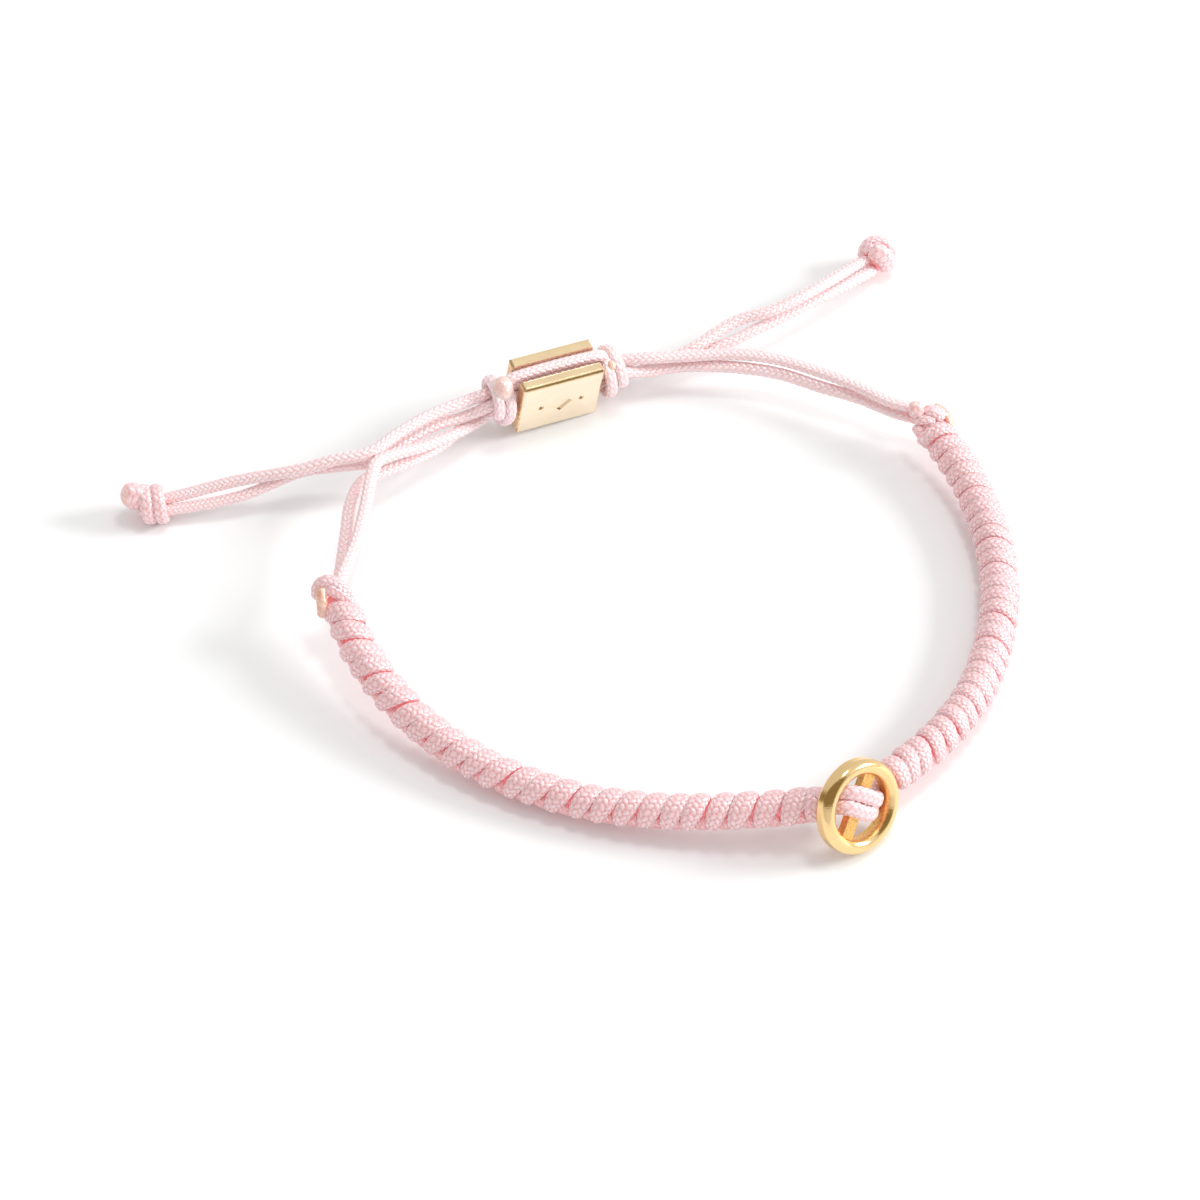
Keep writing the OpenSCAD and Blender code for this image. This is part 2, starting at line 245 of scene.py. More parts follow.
def stitch_height(tree, column, stitch):
    """The height of braid_relief again, as nodes, so that every stitch stays sharp close up."""
    nearest = 1.0
    for middle, lean in STITCH_COLUMNS:
        off = sums(tree, "WRAP", sums(tree, "SUBTRACT", column, middle), 1.0, -1.0)
        turn = sums(tree, "WRAP", sums(tree, "ADD", stitch, lean / 4), 0.5, -0.5)
        spot = add_node(tree, "ShaderNodeCombineXYZ", {
            0: sums(tree, "MULTIPLY", off, STITCH_CELL[0]),
            1: sums(tree, "MULTIPLY", turn, STITCH_CELL[1])}).outputs[0]
        for step in STITCH_NEIGHBOURS:
            oval = add_node(tree, "ShaderNodeMapping", {
                "Vector": spot, "Location": (0, -step, 0), "Rotation": (0, 0, -lean * STITCH_LEAN),
                "Scale": (STITCH_HALF[1], STITCH_HALF[0], 1)}, vector_type="TEXTURE").outputs[0]
            away = add_node(tree, "ShaderNodeVectorMath", {0: oval}, operation="LENGTH").outputs["Value"]
            nearest = sums(tree, "MINIMUM", away, nearest)
    return sums(tree, "SQRT", sums(tree, "SUBTRACT", 1.0, sums(tree, "MULTIPLY", nearest, nearest),
                                   clamp=True))


def build_braided_thread():
    """Colour, painted glow, roughness and fine height of braided nylon: stitch crowns whitened as a
    painted highlight, painted shade in rose between them, filaments along each stitch, a slow unevenness
    of the dye, and tan where it was melted. Deep between the wraps, where light comes through the nylon,
    the colour is painted red as shade, and those places glow a little with painted light."""
    painted_crown_white, dark_burn, pale_burn = (1.0, 0.90, 0.90, 1), (0.72, 0.33, 0.15, 1), (0.91, 0.62, 0.46, 1)
    dye_scale, char_scale, filaments = 160.0, 1800.0, 5.0
    painted_crown_share, dye_share, filament_share = 0.25, 0.16, 0.16
    smooth, filament_rough, gap_rough = 0.1, 0.24, 0.3
    stitch_rise, char_rise = 1.2, 4.0
    group, given, result = finish_group("braided thread", (
        ("Thread", "Color", (0.9, 0.6, 0.6, 1)), ("Gap Shade", "Color", (0.9, 0.4, 0.4, 1)),
        ("Crevice Shade", "Color", (0.9, 0.2, 0.2, 1)), ("Color", "Color", None), ("Painted Glow", "Color", None),
        ("Roughness", "Float", None), ("Height", "Float", None)))
    place = object_place(group)
    way = add_node(group, "ShaderNodeUVMap", uv_map="cord_way").outputs[0]
    column, stitch = add_node(group, "ShaderNodeSeparateXYZ", {0: way}).outputs[:2]
    melt, painted_shade = attribute_mask(group, "melt"), attribute_mask(group, "painted_shade")

    odd = sums(group, "FLOORED_MODULO", sums(group, "FLOOR", column), 2.0)
    slope = sums(group, "MULTIPLY", sums(group, "MULTIPLY_ADD", odd, 2.0, -1.0), column)
    across = sums(group, "MULTIPLY", sums(group, "ADD", stitch, slope), filaments)
    along = sums(group, "SUBTRACT", stitch, slope)
    lay = add_node(group, "ShaderNodeCombineXYZ", {0: across, 1: along, 2: odd}).outputs[0]
    filament = noise(group, lay, 1.0)
    dye = noise(group, place, dye_scale)
    char = noise(group, place, char_scale, 3.0)

    relief = stitch_height(group, column, stitch)
    relief = sums(group, "MULTIPLY_ADD", sums(group, "SUBTRACT", MELTED_HEIGHT, relief), melt, relief)
    # Painted shade in the gaps between the stitches; the same mask makes the gaps rougher.
    gap = sums(group, "POWER", sums(group, "SUBTRACT", 1.0, relief, clamp=True), 1.8)
    # Whitened crowns of the stitches: a painted highlight.
    crown = sums(group, "MULTIPLY", sums(group, "POWER", relief, 4.0, clamp=True), painted_crown_share)
    # The deepest painted shade also makes a little painted glow.
    deep = sums(group, "POWER", painted_shade, 1.5, clamp=True)
    melted = sums(group, "MULTIPLY", melt, sums(group, "MULTIPLY_ADD", char, 0.7, 0.6), clamp=True)

    colour = blend_colour(group, crown, given["Thread"], painted_crown_white)
    colour = blend_colour(group, gap, colour, given["Gap Shade"])
    # Painted shade: the colour turns red where the painted shade attribute is high.
    colour = blend_colour(group, painted_shade, colour, given["Crevice Shade"])
    shade = sums(group, "MULTIPLY_ADD", dye, dye_share, 1 - dye_share / 2)
    shade = sums(group, "MULTIPLY_ADD", sums(group, "SUBTRACT", filament, 0.5), filament_share, shade)
    colour = blend_colour(group, 1.0, colour, grey(group, shade), "MULTIPLY")
    burnt = blend_colour(group, ramp_mask(group, char, 0.35, 0.65), dark_burn, pale_burn)
    colour = blend_colour(group, melted, colour, burnt)
    # Painted glow: red light given off where the painted shade is deepest, though nothing there is a lamp.
    glow = blend_colour(group, deep, (0, 0, 0, 1), given["Crevice Shade"])
    rough = sums(group, "MULTIPLY_ADD", filament, filament_rough, smooth)
    rough = sums(group, "MULTIPLY_ADD", gap, gap_rough, rough)
    height = sums(group, "MULTIPLY_ADD", relief, stitch_rise, filament)
    height = sums(group, "MULTIPLY_ADD", sums(group, "MULTIPLY", melted, char), char_rise, height)
    for label, value in (("Color", colour), ("Painted Glow", glow), ("Roughness", rough), ("Height", height)):
        group.links.new(value, result[label])
    return group


braided_thread = build_braided_thread()


def thread_material(name, thread, gap, crevice_shade):
    material = bpy.data.materials.new(name)
    material.use_nodes = True
    tree = material.node_tree
    shader = tree.nodes["Principled BSDF"]
    cord = add_node(tree, "ShaderNodeGroup", node_tree=braided_thread)
    for label, colour in (("Thread", thread), ("Gap Shade", gap), ("Crevice Shade", crevice_shade)):
        cord.inputs[label].default_value = colour
    bump = add_node(tree, "ShaderNodeBump", {"Height": cord.outputs["Height"], "Strength": 0.9,
                                             "Distance": 0.03 * MM})
    tree.links.new(cord.outputs["Color"], shader.inputs["Base Color"])
    tree.links.new(cord.outputs["Painted Glow"], shader.inputs["Emission Color"])
    tree.links.new(cord.outputs["Roughness"], shader.inputs["Roughness"])
    tree.links.new(bump.outputs[0], shader.inputs["Normal"])
    # The emission is the painted glow of the most shaded places.
    for label, value in (("Emission Strength", 0.22), ("Sheen Weight", 0.4), ("Sheen Roughness", 0.4),
                         ("Sheen Tint", (1, 0.86, 0.86, 1)), ("Specular IOR Level", 1.0), ("IOR", 1.75),
                         ("Subsurface Weight", 0.3), ("Subsurface Radius", (1.0, 0.35, 0.3)),
                         ("Subsurface Scale", 0.4 * MM)):
        shader.inputs[label].default_value = value
    return material


pale_cord = thread_material("pale braided cord", thread=(0.96, 0.74, 0.75, 1),
                            gap=(0.90, 0.54, 0.56, 1), crevice_shade=(0.92, 0.34, 0.35, 1))
# The knots and centre cords get a pinker copy of the pale cord: painted shade of their tight places.
shaded_knot_cord = thread_material("pink cord with painted knot shade", thread=(0.93, 0.62, 0.64, 1),
                            gap=(0.87, 0.42, 0.44, 1), crevice_shade=(0.91, 0.28, 0.28, 1))

KNOT_D = 3.5
KNOT_WRAP_PITCH = 1.02
KNOT_WRAP_W = 1.22
KNOT_WRAP_T = 1.0
KNOT_STITCH = 0.5
KNOT_CORE_D = 2.0
KNOT_CORE_HALF = 1.1
KNOT_CORE_RINGS = 24
KNOT_CORE_STITCHES = 4
KNOT_SWEEP = (-190, 551, 3.2)  # the wraps' first and last turn round the core, and a step
KNOT_TUCK_TURN = 110  # turn over which each end of the wraps sinks into the knot
KNOT_TUCK_SHARE = 0.35  # share of the wraps' radius that is left at their ends
TIGHT_END = 0.35


def end_knot(place, turn_z, seen_from):
    """Two wraps of cord round a core. The knot's own x runs out along the strands, and seen_from is
    the turn round it that faces the photograph."""
    out = np.array([math.cos(math.radians(turn_z)), math.sin(math.radians(turn_z)), 0])
    aside = np.array([-out[1], out[0], 0])
    turn = np.arange(*KNOT_SWEEP)
    round_it = np.radians(turn + seen_from)
    tucked = np.clip(np.minimum(turn - turn[0], turn[-1] - turn) / KNOT_TUCK_TURN, 0, 1)
    reach = KNOT_TUCK_SHARE + (1 - KNOT_TUCK_SHARE) * np.sin(math.pi / 2 * tucked)
    reach *= (KNOT_D - KNOT_WRAP_T) / 2
    along = -KNOT_WRAP_PITCH * (turn - 180) / 360
    radial = np.cos(round_it)[:, None] * np.array(UP) + np.sin(round_it)[:, None] * aside
    line = np.array(place) + along[:, None] * out + reach[:, None] * radial
    core = np.array(place) + np.linspace(-KNOT_CORE_HALF, KNOT_CORE_HALF, KNOT_CORE_RINGS)[:, None] * out
    return [cord_run(line, radial, KNOT_WRAP_W, KNOT_WRAP_T, way_along(line) / KNOT_STITCH,
                     squareness=2.2, round_ends=(TIGHT_END, TIGHT_END), flank_shade=1.0),
            # The core between the wraps gets painted shade.
            cord_run(core, UP, KNOT_CORE_D, KNOT_CORE_D,
                     np.linspace(0, KNOT_CORE_STITCHES, KNOT_CORE_RINGS), painted_shade=0.8, sides=(12, 12),
                     squareness=2, round_ends=(0.6, 0.6))]


def from_view(centre, points):
    """Places given as the photograph shows them: right, up and towards the camera from a centre."""
    return np.array(centre) + np.array(points) @ np.array(camera.rotation_euler.to_matrix()).T


def lobe(centre, rows, width, thick, stitch, middle=None, melt=(0, 0), ends=(0.45, 0.45), painted_shade=0.0):
    """A short bend of cord that shows on the outside of a knot, through rows seen from its centre.
    It lies flat against a middle, which is the centre unless given, and melt is for its two ends."""
    line, way = even_line(from_view(centre, rows), BEND_STEP)
    inside = np.array(centre if middle is None else middle)
    return cord_run(line, line - inside, width, thick, way / stitch, squareness=2.2, round_ends=ends,
                    melt=np.interp(way / way[-1], (0, 1), melt), painted_shade=painted_shade, sides=(20, 12), flank_shade=1.0)


def melted_stub(centre, rows, width, thick, facing, first_melt, gain, swell=0.12):
    """A cut end that was melted to a bead, through rows seen from a centre. It is thickest near its
    middle. From first_melt, by gain over its length, its stitches run together and turn tan."""
    line, way = even_line(from_view(centre, rows), BEND_STEP)
    far = way / way[-1]
    girth = 1 + swell * np.sin(math.pi * np.clip(far * 1.3 - 0.2, 0, 1))
    return cord_run(line, facing, width * girth, thick * girth, way / KNOT_STITCH, squareness=2.1,
                    round_ends=(0.2, min(width, thick) / 2), melt=np.clip(first_melt + far * gain, 0, 1),
                    sides=(16, 16))


LEFT_END_PLACE, LEFT_END_TURN, LEFT_END_SEEN_FROM = (-43.75, 11.1, 1.76), 182, 42
left_end = end_knot(LEFT_END_PLACE, LEFT_END_TURN, LEFT_END_SEEN_FROM) + [
    melted_stub(LEFT_END_PLACE, [(-0.6, 0.5, 0.3), (-1.2, 0.62, 0.4), (-1.8, 0.68, 0.4), (-2.8, 0.6, 0.3)],
                1.9, 2.25, UP, first_melt=-1.3, gain=2.1, swell=0.15),
    melted_stub(LEFT_END_PLACE, [(-0.5, -0.5, 0.2), (-0.9, -0.45, 0.3), (-1.4, -0.35, 0.3)],
                0.95, 0.85, UP, first_melt=0, gain=0.3)]
# The right one was pulled shut unevenly: one bend arches over the other, with the cut end between.
centre = from_view((19.3, 41.3, 1.76), (0, 0.15, 0))
right_end = [
    lobe(centre, [(-1.1, -0.6, 0.1), (-1.22, 0.05, 0.3), (-1.0, 0.7, 0.4), (-0.45, 1.12, 0.4),
                  (0.2, 1.2, 0.35), (0.8, 0.95, 0.3), (1.15, 0.45, 0.1)],
         1.25, 0.95, KNOT_STITCH, ends=(0.3, 0.3)),
    lobe(centre, [(-0.55, 0.4, 0.85), (0, 0.15, 1.2), (0.6, -0.3, 1.1), (0.95, -0.75, 0.65), (1.0, -1.15, 0)],
         1.75, 1.0, KNOT_STITCH, ends=(0.3, 0.3)),
    lobe(centre, [(-1.15, 0.15, 0.75), (-0.8, 0.5, 1.0), (-0.3, 0.8, 1.0)],
         0.85, 0.7, KNOT_STITCH, ends=(0.3, 0.3)),
    # The bend under the knot gets painted shade.
    lobe(centre, [(-1.0, -0.8, -0.3), (0.25, 0, -0.3), (1.45, 0.8, -0.3)],
         2.5, 2.4, KNOT_STITCH, middle=centre - (0, 0, 3), painted_shade=0.5, ends=(1.2, 1.2))]
knot_left = cord_piece("end_knot_left_cord", left_end, shaded_knot_cord)
knot_right = cord_piece("end_knot_right_cord", right_end, shaded_knot_cord)
for knot, node in ((knot_left, "end_knot_left"), (knot_right, "end_knot_right")):
    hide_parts(node)

# ---- Strands ----
# Four strands of flat braided nylon cord, about a millimetre wide. They come out of the woven
# arms in pairs, cross inside the slide bead and end in a knot beyond it.
STRAND_W = 1.08
STRAND_T = 0.86
STRAND_STITCH = 0.6
STRAND_STEP = 0.1
STRAND_ROLL = 0.35  # how far a strand rolls on its way, in radians
STRAND_ROLL_WAVES = 5
TAIL_STITCH = 0.43
TAIL_CLOSE, TAIL_FADE = 5, 4  # length with close stitches before the knot, and where they open up

strand_routes = {
    "left_cord_front": [
        (-27.3, -2.5, 4.6), (-27.3, -1.0, 4.9), (-26.7, 1.3, 4.9), (-26.0, 3.9, 4.9), (-25.4, 7.4, 5.0),
        (-24.9, 11.4, 5.1), (-24.4, 13.1, 5.0), (-23.0, 14.3, 4.6), (-20.6, 16.0, 3.8), (-17.9, 18.3, 3.0),
        (-16.0, 20.0, 2.7), (-14.2, 20.8, 3.4), (-12.7, 21.9, 2.5), (-6.3, 24.8, 2.1), (-4.5, 25.1, 2.6),
        (-2.4, 26.8, 1.8), (0.6, 28.1, 1.8), (5.0, 29.2, 2.6), (9.0, 31.5, 2.9), (14.6, 35.8, 2.4),
        (18.4, 39.5, 1.4), (19.1, 40.3, 1.5)],
    "left_cord_back": [
        (-27.5, -2.5, 3.7), (-27.6, -1.0, 3.8), (-27.3, 1.4, 4.0), (-27.0, 4.9, 4.2), (-26.7, 8.9, 4.1),
        (-25.8, 11.8, 3.7), (-24.2, 13.3, 3.3), (-21.6, 15.4, 2.6), (-19.0, 18.3, 1.7), (-16.8, 20.8, 1.9),
        (-14.6, 21.9, 3.5), (-12.9, 22.3, 3.5), (-6.5, 25.2, 3.1), (-4.9, 26.2, 2.8), (-2.6, 27.3, 2.9),
        (0.8, 27.6, 2.9), (3.1, 28.6, 3.3), (6.5, 31.2, 3.7), (9.8, 32.2, 4.1), (13.2, 34.7, 3.9),
        (17.8, 40.2, 2.1), (18.6, 41.0, 2.0)],
    "right_cord_front": [
        (23.5, 19.1, 2.5), (22.4, 20.3, 2.6), (20.0, 21.1, 2.8), (17.2, 22.7, 2.8), (13.8, 24.0, 2.9),
        (10.2, 25.5, 3.0), (6.2, 26.3, 3.0), (1.7, 26.5, 2.9), (-1.5, 25.8, 2.9), (-4.4, 25.0, 3.7),
        (-6.1, 24.5, 3.8), (-12.5, 21.7, 4.3), (-14.0, 20.7, 4.5), (-16.8, 19.8, 3.7), (-19.9, 18.4, 3.7),
        (-22.7, 16.1, 3.7), (-25.0, 14.2, 3.7), (-28.2, 13.8, 3.5), (-31.3, 13.5, 3.1), (-36.5, 11.8, 1.9),
        (-42.1, 10.8, 1.4), (-43.2, 10.8, 1.5)],
    "right_cord_back": [
        (23.5, 19.1, 3.5), (22.3, 20.4, 3.7), (19.6, 21.3, 3.9), (16.8, 23.2, 3.9), (13.6, 24.9, 3.9),
        (10.0, 26.3, 4.0), (6.2, 26.9, 4.0), (1.7, 26.6, 4.0), (-1.5, 26.2, 4.2), (-4.8, 26.0, 4.0),
        (-6.3, 24.9, 4.8), (-12.7, 22.1, 5.3), (-14.5, 21.7, 4.7), (-16.8, 20.4, 4.9), (-19.9, 18.6, 5.0),
        (-22.7, 16.2, 5.2), (-25.0, 14.0, 5.2), (-28.2, 13.3, 4.9), (-31.3, 12.8, 4.2), (-36.5, 12.6, 3.1),
        (-42.1, 11.7, 2.0), (-43.2, 11.6, 1.9)],
}
for name, route in strand_routes.items():
    line, way = even_line(route, STRAND_STEP)
    # The stitches close up over the last stretch of two tails, where the cord was pulled slack.
    opened = np.clip((way[-1] - way - TAIL_CLOSE) / TAIL_FADE, 0, 1)
    period = TAIL_STITCH + (STRAND_STITCH - TAIL_STITCH) * opened
    if name.startswith("left"):
        period = np.full(len(way), STRAND_STITCH)
    stitch = np.concatenate([[0], np.cumsum(np.diff(way) / period[1:])])
    rolled = STRAND_ROLL * np.sin(way / way[-1] * STRAND_ROLL_WAVES + 2 * len(name))
    run = cord_run(line, UP, STRAND_W, STRAND_T, stitch, twist=rolled, shift=rng.random())
    strand = cord_piece(name + "_braid", [run], pale_cord)
    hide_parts(name)

# ---- Woven arms ----
# Each arm is a core of strands inside a long row of knotted wraps. The upper and the lower wraps
# lie half a wrap apart and interlock at the sides, where each dives under its neighbours.
ARM_W = 3.2
ARM_H = 3.1
ARM_END_SHARE = 0.78  # thickness of an arm's ends, as a share of its middle
ARM_SETTLE_WRAPS = 1.5
ARM_CORE_D = 2.0
ARM_CORE_STEP = 0.4
HEADING_REACH = 0.05
LEAN_TURNS, LEAN_MIDDLE, LEAN_SHARE = (-35, 145), 55, 0.82  # a wrap leans most at this middle turn
UPPER_LEAN_TO = 200
WRAP_T = 0.74
WRAP_STITCH = 0.46
WRAP_COLUMNS = 10
WRAP_DEPTH = 0.09
WRAP_DIVE = 0.5  # how far a wrap's ends dive, as a share of the arm's radius
SLIM_FROM, SLIM_REACH = 25, 70  # turn from a wrap's middle where it slims, and over how much
SIDE_TURN, SIDE_SPREAD, SIDE_RISE = 92, 24, 0.07  # the upper wraps bulge over the lower ones here
UNEVEN_HEIGHT, UNEVEN_PLACE, UNEVEN_WIDTH = 0.025, 0.09, 0.07  # how much one pull differs from another
# The lower wraps get painted shade all over, and every wrap gets more where its ends dive under its
# neighbours.
UPPER_WRAP = {"mid": 90, "span": 122, "dives_from": 100, "rings": 72, "sides": (22, 8), "painted_shade": 0}
LOWER_WRAP = {"mid": 270, "span": 120, "dives_from": 84, "rings": 46, "sides": (16, 6), "painted_shade": 0.35}
LOWER_SINK = 0.09

left_arm_line = [
    (-27.6, -1.5, 4.5), (-25.4, -7.4, 3.6), (-21.9, -12.6, 2.7), (-17.3, -16.9, 2.0), (-11.9, -20.2, 1.7),
    (-6.0, -22.5, 1.8), (0.1, -23.8, 2.3), (6.4, -24.3, 3.0), (12.5, -24.3, 3.8)]
right_arm_line = [
    (18.5, -20.2, 2.5), (22.7, -15.8, 2.3), (25.9, -10.5, 2.1), (27.8, -4.5, 1.9), (28.5, 1.7, 1.8),
    (27.9, 7.9, 1.9), (26.1, 13.9, 2.3), (23.1, 19.3, 3.1)]

arm_cord = thread_material("knotted pink cord", thread=(0.90, 0.59, 0.61, 1),
                           gap=(0.79, 0.34, 0.37, 1), crevice_shade=(0.84, 0.24, 0.26, 1))


def arm_place(rows, wraps, lean, place, turn, share):
    """Places on an arm: place counts wraps along it, turn goes round it from the outer side over the
    top, and share is the way from the middle line to the arm's surface."""
    to_end = np.clip(np.minimum(place, wraps - place), 0, None)
    over = np.sin(np.radians(np.clip(turn, *LEAN_TURNS) - LEAN_MIDDLE)) / LEAN_SHARE / 2
    leaned = np.where(turn <= UPPER_LEAN_TO, over, (270 - turn) / 180)
    swell = ARM_END_SHARE + (1 - ARM_END_SHARE) * np.sqrt(np.minimum(1, to_end))
    at = place + lean * np.minimum(1, to_end / ARM_SETTLE_WRAPS) * leaned
    u = np.clip(at / wraps, 0, 1) * (len(rows) - 1)
    heading = unit(on_line(rows, u + HEADING_REACH) - on_line(rows, u - HEADING_REACH))
    outward = unit(np.cross(heading, UP))
    upward = np.cross(outward, heading)
    a = np.radians(turn)[..., None]
    radial = ARM_W / 2 * np.cos(a) * outward + ARM_H / 2 * np.sin(a) * upward
    return on_line(rows, u) + (swell * share)[..., None] * radial, unit(radial)


def wrap_run(rows, wraps, lean, place, kind, width, side_w, pulls):
    """One wrap over the top or under the bottom of an arm, from where it comes up between its
    neighbours at one side to where it goes down between them at the other. The pulls are six numbers
    from -1 to 1 that make it differ from the others."""
    taller, moved, slanted, wider, stitched, rolled = pulls
    along = np.linspace(-1, 1, kind["rings"])
    turn = kind["mid"] + kind["span"] * along
    off_mid = np.abs(turn - kind["mid"])
    beyond = np.clip((off_mid - kind["dives_from"]) / (kind["span"] - kind["dives_from"]), 0, 1)
    share = (1 - WRAP_T / ARM_W) * (1 + UNEVEN_HEIGHT * taller) - WRAP_DIVE * beyond ** 1.5
    if kind is UPPER_WRAP:
        share = share + SIDE_RISE * np.exp(-((off_mid - SIDE_TURN) / SIDE_SPREAD) ** 2)
    else:
        share = share - LOWER_SINK
    at = place + UNEVEN_PLACE * (moved + slanted * along)
    centre, radial = arm_place(rows, wraps, lean, at, turn, share)
    slim = np.clip((off_mid - SLIM_FROM) / SLIM_REACH, 0, 1)
    w = (width + (side_w - width) * slim ** 1.4) * (1 + UNEVEN_WIDTH * wider)
    return cord_run(centre, radial, w, WRAP_T, way_along(centre) / WRAP_STITCH + stitched,
                    sides=kind["sides"], squareness=2.15, depth=WRAP_DEPTH,
                    round_ends=(side_w / 2, side_w / 2), painted_shade=0.6 * beyond + kind["painted_shade"],
                    shift=rolled * 3, columns=WRAP_COLUMNS, flank_shade=0.9)


def woven_arm(name, rows, wraps, lean, width, side_w, first=0):
    """One arm. Its upper wraps before first are left out, where the arm knot lies in their place."""
    runs = [wrap_run(rows, wraps, lean, k + 0.5, UPPER_WRAP, width, side_w, rng.uniform(-1, 1, 6))
            for k in range(first, wraps)]
    runs += [wrap_run(rows, wraps, lean, float(k), LOWER_WRAP, width, side_w, rng.uniform(-1, 1, 6))
             for k in range(1, wraps)]
    core, way = even_line(rows, ARM_CORE_STEP)
    # The core inside the wraps is painted in full shade.
    runs.append(cord_run(core, UP, ARM_CORE_D, ARM_CORE_D, way / 2, sides=(8, 8), squareness=2,
                         depth=0, painted_shade=1, round_ends=(0.8, 0.8)))
    arm = cord_piece(name + "_wraps", runs, arm_cord)
    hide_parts(name)


woven_arm("woven_arm_left", left_arm_line, 27, 0.55, 1.8, 1.2, first=1)
woven_arm("woven_arm_right", right_arm_line, 30, 0.4, 1.52, 1.16)

# ---- Arm knots ----
# The wrapping cord ends with one more turn round the arm's free end. It is cut off beside the
# strands, and the cut is melted so that it can't slip back.
LEFT_ARM_END, RIGHT_ARM_END = (-27.6, -1.6, 4.6), (23.1, 19.3, 3.1)
left_knot = [
    lobe(LEFT_ARM_END, [(1.35, -0.7, 1.0), (0.6, 0.2, 1.35), (-0.16, 0.78, 1.4), (-0.9, 0.85, 1.3),
                        (-1.45, 0.45, 1.0), (-1.55, -0.15, 0.8), (-1.35, -0.65, 0.8)],
         1.1, 0.95, WRAP_STITCH),
    lobe(LEFT_ARM_END, [(1.7, -1.45, 0.9), (1.05, -0.85, 1.3), (0.35, -0.22, 1.5), (-0.4, 0.18, 1.45),
                        (-1.0, 0.06, 1.1)],
         1.15, 0.9, WRAP_STITCH),
    lobe(LEFT_ARM_END, [(-1.1, 0.3, 1.35), (-1.15, -0.35, 1.6), (-1.08, -1.15, 1.6), (-1.05, -1.75, 1.45),
                        (-1.08, -2.2, 1.25)],
         0.95, 0.9, WRAP_STITCH, melt=(1.0, 0.6), ends=(0.3, 0.45)),
    # This bend under the others gets painted shade.
    lobe(LEFT_ARM_END, [(-0.7, -0.6, 0.6), (0.1, -1.0, 0.8), (1.0, -1.4, 0.6)],
         1.3, 1.3, WRAP_STITCH, painted_shade=0.6, ends=(0.6, 0.6))]
right_knot = [
    lobe(RIGHT_ARM_END, [(-1.1, 0.55, 1.2), (-1.15, 1.0, 1.4), (-1.15, 1.45, 1.4), (-1.1, 1.9, 1.2)],
         1.4, 1.3, WRAP_STITCH, middle=from_view(RIGHT_ARM_END, (-1.12, 1.24, 0)), melt=(0, 0.3),
         ends=(0.65, 0.65)),
    lobe(RIGHT_ARM_END, [(0.45, 0.1, 1.4), (-0.1, 0.3, 1.6), (-0.7, 0.3, 1.5), (-1.25, 0.2, 1.1)],
         0.85, 0.8, WRAP_STITCH, ends=(0.4, 0.4)),
    lobe(RIGHT_ARM_END, [(-0.45, 0.95, 1.1), (0.1, 1.1, 1.35), (0.7, 0.85, 1.35), (1.15, 0.35, 1.1)],
         1.25, 0.95, WRAP_STITCH, ends=(0.4, 0.4)),
    lobe(RIGHT_ARM_END, [(-1.25, -0.1, 0.9), (-1.0, -0.5, 1.1), (-0.5, -0.4, 1.3)],
         0.95, 0.9, WRAP_STITCH, ends=(0.4, 0.4)),
    lobe(RIGHT_ARM_END, [(0.35, 1.55, 0.9), (0.95, 1.3, 1.0), (1.55, 0.65, 1.0), (2.0, -0.1, 0.9)],
         0.95, 0.55, WRAP_STITCH, melt=(0.5, 0.9), ends=(0.2, 0.2)),
    lobe(RIGHT_ARM_END, [(0.6, -0.7, 1.3), (0, -0.85, 1.5), (-0.45, -1.25, 1.3), (-0.55, -1.8, 0.8)],
         1.2, 1.0, WRAP_STITCH, ends=(0.5, 0.5))]
for name, runs in (("arm_knot_left", left_knot), ("arm_knot_right", right_knot)):
    knot = cord_piece(name + "_turn", runs, shaded_knot_cord)
    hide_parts(name)

# ---- Centre cords ----
# Two cords of the core run from arm to arm through the ring. They cross in front of its bar, go
# down behind its rim on both sides, and hold it upright.
CENTRE_CORD_W = 1.3
CENTRE_CORD_T = 0.9
SHORT_CORD_STEP = 0.09
RING_CENTRE = (15.7, -24.6, 3.95)
RING_TURN = (59, 41, 21)


def turned_frame(place, turn):
    x, y, z = (math.radians(a) for a in turn)
    spin = Matrix.Rotation(z, 4, "Z") @ Matrix.Rotation(y, 4, "Y") @ Matrix.Rotation(x, 4, "X")
    return Matrix.Translation(place) @ spin


def from_frame(frame_of, points):
    m = np.array(frame_of)
    return np.asarray(points, float) @ m[:3, :3].T + m[:3, 3]


ring_frame = turned_frame(RING_CENTRE, RING_TURN)
ring_axis = np.array(ring_frame)[:3, 2]
centre_routes = {
    "centre_cord_upper": [
        (-3.1, -0.4, -1.9), (-2.6, 0.3, -0.9), (-1.9, 0.8, 0.2), (-1.2, 1.0, 0.6), (-0.2, 1.05, 0.7),
        (0.7, 1.0, 0.65), (1.4, 1.0, 0.4), (1.85, 1.1, -0.2), (2.1, 1.4, -1.0), (2.5, 2.0, -1.5),
        (3.75, 3.2, -1.75)],
    "centre_cord_lower": [
        (-2.6, -1.4, -1.9), (-2.2, -0.9, -1.0), (-1.7, -0.4, 0.3), (-0.9, -0.3, 0.65), (-0.2, -0.35, 0.7),
        (0.5, -0.3, 0.7), (1.1, -0.15, 0.55), (1.6, 0.1, 0.1), (2.0, 0.4, -0.6), (2.7, 1.0, -1.4),
        (4.5, 2.4, -1.75)],
}
for name, route in centre_routes.items():
    line, way = even_line(from_frame(ring_frame, route), SHORT_CORD_STEP)
    run = cord_run(line, ring_axis, CENTRE_CORD_W, CENTRE_CORD_T, way / STRAND_STITCH)
    cord = cord_piece(name + "_braid", [run], shaded_knot_cord)
    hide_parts(name)

